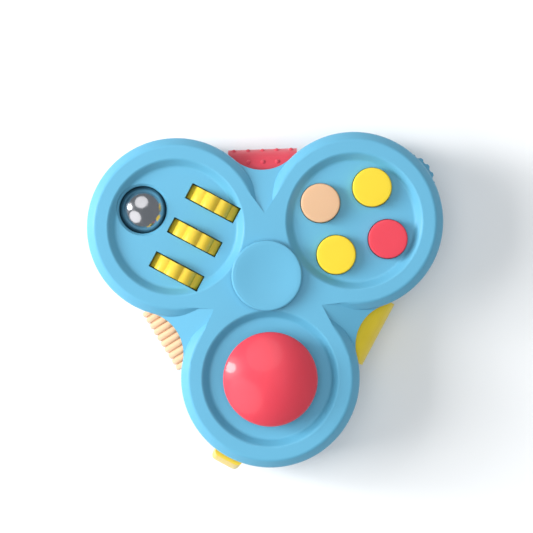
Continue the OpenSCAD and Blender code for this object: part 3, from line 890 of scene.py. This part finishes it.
class PAD_OT_rocker(bpy.types.Operator):
    """Model the two-winged rocker switch in the rim of the joystick lobe"""

    bl_idname = "pad.rocker"
    bl_label = "Rocker switch"

    def execute(self, context):
        half = 3.7
        side = [(0, -2), (1.6, -4.6), (4.7, -4.2), (5.3, 0), (4.7, 4.2), (1.6, 4.6), (0, 2)]
        side = soften(side, {1: 0.5, 2: 0.8, 3: 1.2, 4: 0.8, 5: 0.5}, 4)
        body = slab("rocker_wings", [(x, -half, z) for x, z in side], (0, 2 * half, 0))
        plan = soften([(-4, -half - 1), (-4, half + 1), (1, half + 1), (1, half), (4.8, half),
                       (4.8, -half), (1, -half), (1, -half - 1)], {4: 3.6, 5: 3.6}, 14)
        combine(body, slab("rocker_ends", [(x, y, -7) for x, y in plan], (0, 0, 14)), "INTERSECT")
        barrel = put(rod("barrel", 2, -half, half, 48), turn(90, "X"))
        combine(body, barrel, "UNION")
        combine(body, block("cam", (-3, -1, -0.6), (0, 1, 0.6)), "UNION")
        combine(body, put(rod("pin_bore", 1.05, -6, 6, 40), turn(90, "X")))
        put(body, rocker_place() @ turn(-14, "Y"))
        yellow = context.scene.pad_colours.roller_yellow
        finish = plastic("rocker_plastic", yellow, rough=0.35, soft=0.1)
        stand_in(body, "rocker_switch", "rocker", finish, 35)
        return {"FINISHED"}


class PAD_OT_inner_finishes(bpy.types.Operator):
    """Give the engineered parts that stay their steel and plastic finishes"""

    bl_idname = "pad.inner_finishes"
    bl_label = "Finishes of the inner parts"

    def execute(self, context):
        c = context.scene.pad_colours
        polished = metal("polished_ball_steel", (0.52, 0.51, 0.53), 0.15, 0.02)
        bearing = metal("ground_bearing_steel", c.steel, 0.16)
        zinc = metal("zinc_screw_steel", [v * 0.9 for v in c.steel], 0.26, 0.25)
        pin = metal("drawn_pin_steel", c.steel, 0.2, 0.2)
        spring = metal("spring_wire_steel", [v * 0.8 for v in c.steel], 0.24, 0.2)
        inner = plastic("inner_plastic", c.inner, rough=0.5, swing=0.06, depth=0.3)
        groups = (
            (polished, ("steel_ball",)),
            (zinc, ("shell_screws",)),
            (bearing, ("bearing_inner_race", "bearing_outer_race", "bearing_shields", "bearing_balls")),
            (pin, ("roller_axle", "dial_axle", "joystick_pin", "rocker_pin")),
            (spring, ("ball_spring", "spring_tan", "spring_red", "spring_yellow_outer",
                      "spring_yellow_inner", "joystick_spring", "roller_click_spring",
                      "dial_click_spring", "rocker_click_spring")),
            (inner, ("bearing_cage", "roller_frame", "ball_cup", "button_plate", "joystick_stick",
                     "gimbal_ring", "joystick_base", "joystick_spring_seat")),
        )
        for material, names in groups:
            for name in names:
                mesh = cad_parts[name].data
                if not mesh.materials:
                    mesh.materials.append(material)
                for i in range(len(mesh.materials)):
                    mesh.materials[i] = material
        return {"FINISHED"}


# ---- stage ----

def soft_box(name, place, aim, width, height, power, colour=(1, 1, 1)):
    light = bpy.data.lights.new(name, "AREA")
    light.shape = "RECTANGLE"
    light.size, light.size_y = width, height
    light.energy = power
    light.color = colour
    lamp = bpy.data.objects.new(name, light)
    lamp.location = place
    lamp.rotation_euler = (Vector(aim) - Vector(place)).to_track_quat("-Z", "Y").to_euler()
    bpy.context.scene.collection.objects.link(lamp)
    return lamp


class PAD_OT_stage(bpy.types.Operator):
    """Set the pale floor, the soft lights and the camera straight above"""

    bl_idname = "pad.stage"
    bl_label = "Stage"

    def execute(self, context):
        scene = context.scene
        alone(None)
        bpy.ops.mesh.primitive_plane_add(size=3.0, location=(0, 0, -0.0001))
        floor = context.object
        floor.name = "studio_floor"
        paper = bpy.data.materials.new("floor_paper")
        paper.use_nodes = True
        tree = paper.node_tree
        place = node(tree, "ShaderNodeTexCoord", -900, 0).outputs["Object"]
        drift = noise(tree, place, 6.0, 3.0, -650, 0)
        tree.links.new(tones(tree, drift, (0.93, 0.93, 0.93), 0.006, -350, 0),
                       tree.nodes["Principled BSDF"].inputs["Base Color"])
        tree.nodes["Principled BSDF"].inputs["Roughness"].default_value = 0.9
        floor.data.materials.append(paper)

        world = scene.world or bpy.data.worlds.new("studio")
        scene.world = world
        world.use_nodes = True
        world.node_tree.nodes["Background"].inputs["Color"].default_value = (0.84, 0.93, 1.0, 1)
        world.node_tree.nodes["Background"].inputs["Strength"].default_value = 0.30

        key = soft_box("key_left", (-0.62, 0.06, 0.40), (0, 0, 0.01), 0.45, 0.45, 5.7)
        key.visible_glossy = False
        window = soft_box("window_left", (-0.56, 0.13, 0.245), (0, -0.02, 0.02), 0.15, 0.22, 1.8)
        window.data.shape = "ELLIPSE"
        fill = soft_box("overhead", (0.05, 0.0, 0.95), (0, 0, 0), 0.8, 0.8, 4.4)
        fill.visible_glossy = False
        for name, place, size, power in (("card_top", (-0.10, 0.42, 0.56), 0.74, 1.5),
                                         ("card_low_left", (-0.46, -0.34, 0.46), 0.72, 1.6)):
            card = soft_box(name, place, (0, 0, 0.02), size, size, power)
            card.data.shape = "DISK"
            card.visible_diffuse = False
        scene.view_settings.view_transform = "Standard"
        scene.view_settings.look = "None"
        scene.view_settings.exposure = 0.0

        lens = bpy.data.cameras.new("camera")
        camera = bpy.data.objects.new("camera", lens)
        scene.collection.objects.link(camera)
        away, across = 0.47, 0.1281
        lens.sensor_width = 36.0
        lens.lens = 36.0 * away / across
        lens.clip_start, lens.clip_end = 0.01, 10.0
        camera.location = (0.0, 0.0022, FACE_Z * MM + away)
        camera.rotation_euler = (0.0, 0.0, math.radians(-2.0))
        scene.camera = camera
        return {"FINISHED"}


class PAD_PT_builder(bpy.types.Panel):
    """Lists the sizes, the colours and the steps that build the pad"""

    bl_idname = "PAD_PT_builder"
    bl_label = "Three-lobed fidget pad"
    bl_space_type = "VIEW_3D"
    bl_region_type = "UI"
    bl_category = "Fidget pad"

    def draw(self, context):
        layout = self.layout
        for group in (context.scene.pad_sizes, context.scene.pad_colours):
            box = layout.box()
            for key in group.__annotations__:
                box.prop(group, key)
        for step in STEPS:
            layout.operator(step.bl_idname)


STEPS = (
    PAD_OT_stage, PAD_OT_front_shell, PAD_OT_back_shell, PAD_OT_hub_caps, PAD_OT_rub_pads,
    PAD_OT_rollers, PAD_OT_buttons, PAD_OT_edge_dial, PAD_OT_joystick_cap, PAD_OT_rocker,
    PAD_OT_inner_finishes,
)
CLASSES = (PadSizes, PadColours) + STEPS + (PAD_PT_builder,)


def register():
    """Register the classes and attach the settings to the scene."""
    for cls in CLASSES:
        bpy.utils.register_class(cls)
    bpy.types.Scene.pad_sizes = PointerProperty(type=PadSizes)
    bpy.types.Scene.pad_colours = PointerProperty(type=PadColours)


def unregister():
    """Remove the settings and the classes again."""
    del bpy.types.Scene.pad_colours
    del bpy.types.Scene.pad_sizes
    for cls in reversed(CLASSES):
        bpy.utils.unregister_class(cls)


def main():
    register()
    bpy.ops.pad.stage()
    bpy.ops.pad.front_shell()
    bpy.ops.pad.back_shell()
    bpy.ops.pad.hub_caps()
    bpy.ops.pad.rub_pads()
    bpy.ops.pad.rollers()
    bpy.ops.pad.buttons()
    bpy.ops.pad.edge_dial()
    bpy.ops.pad.joystick_cap()
    bpy.ops.pad.rocker()
    bpy.ops.pad.inner_finishes()
    alone(None)


if __name__ == "__main__":
    main()
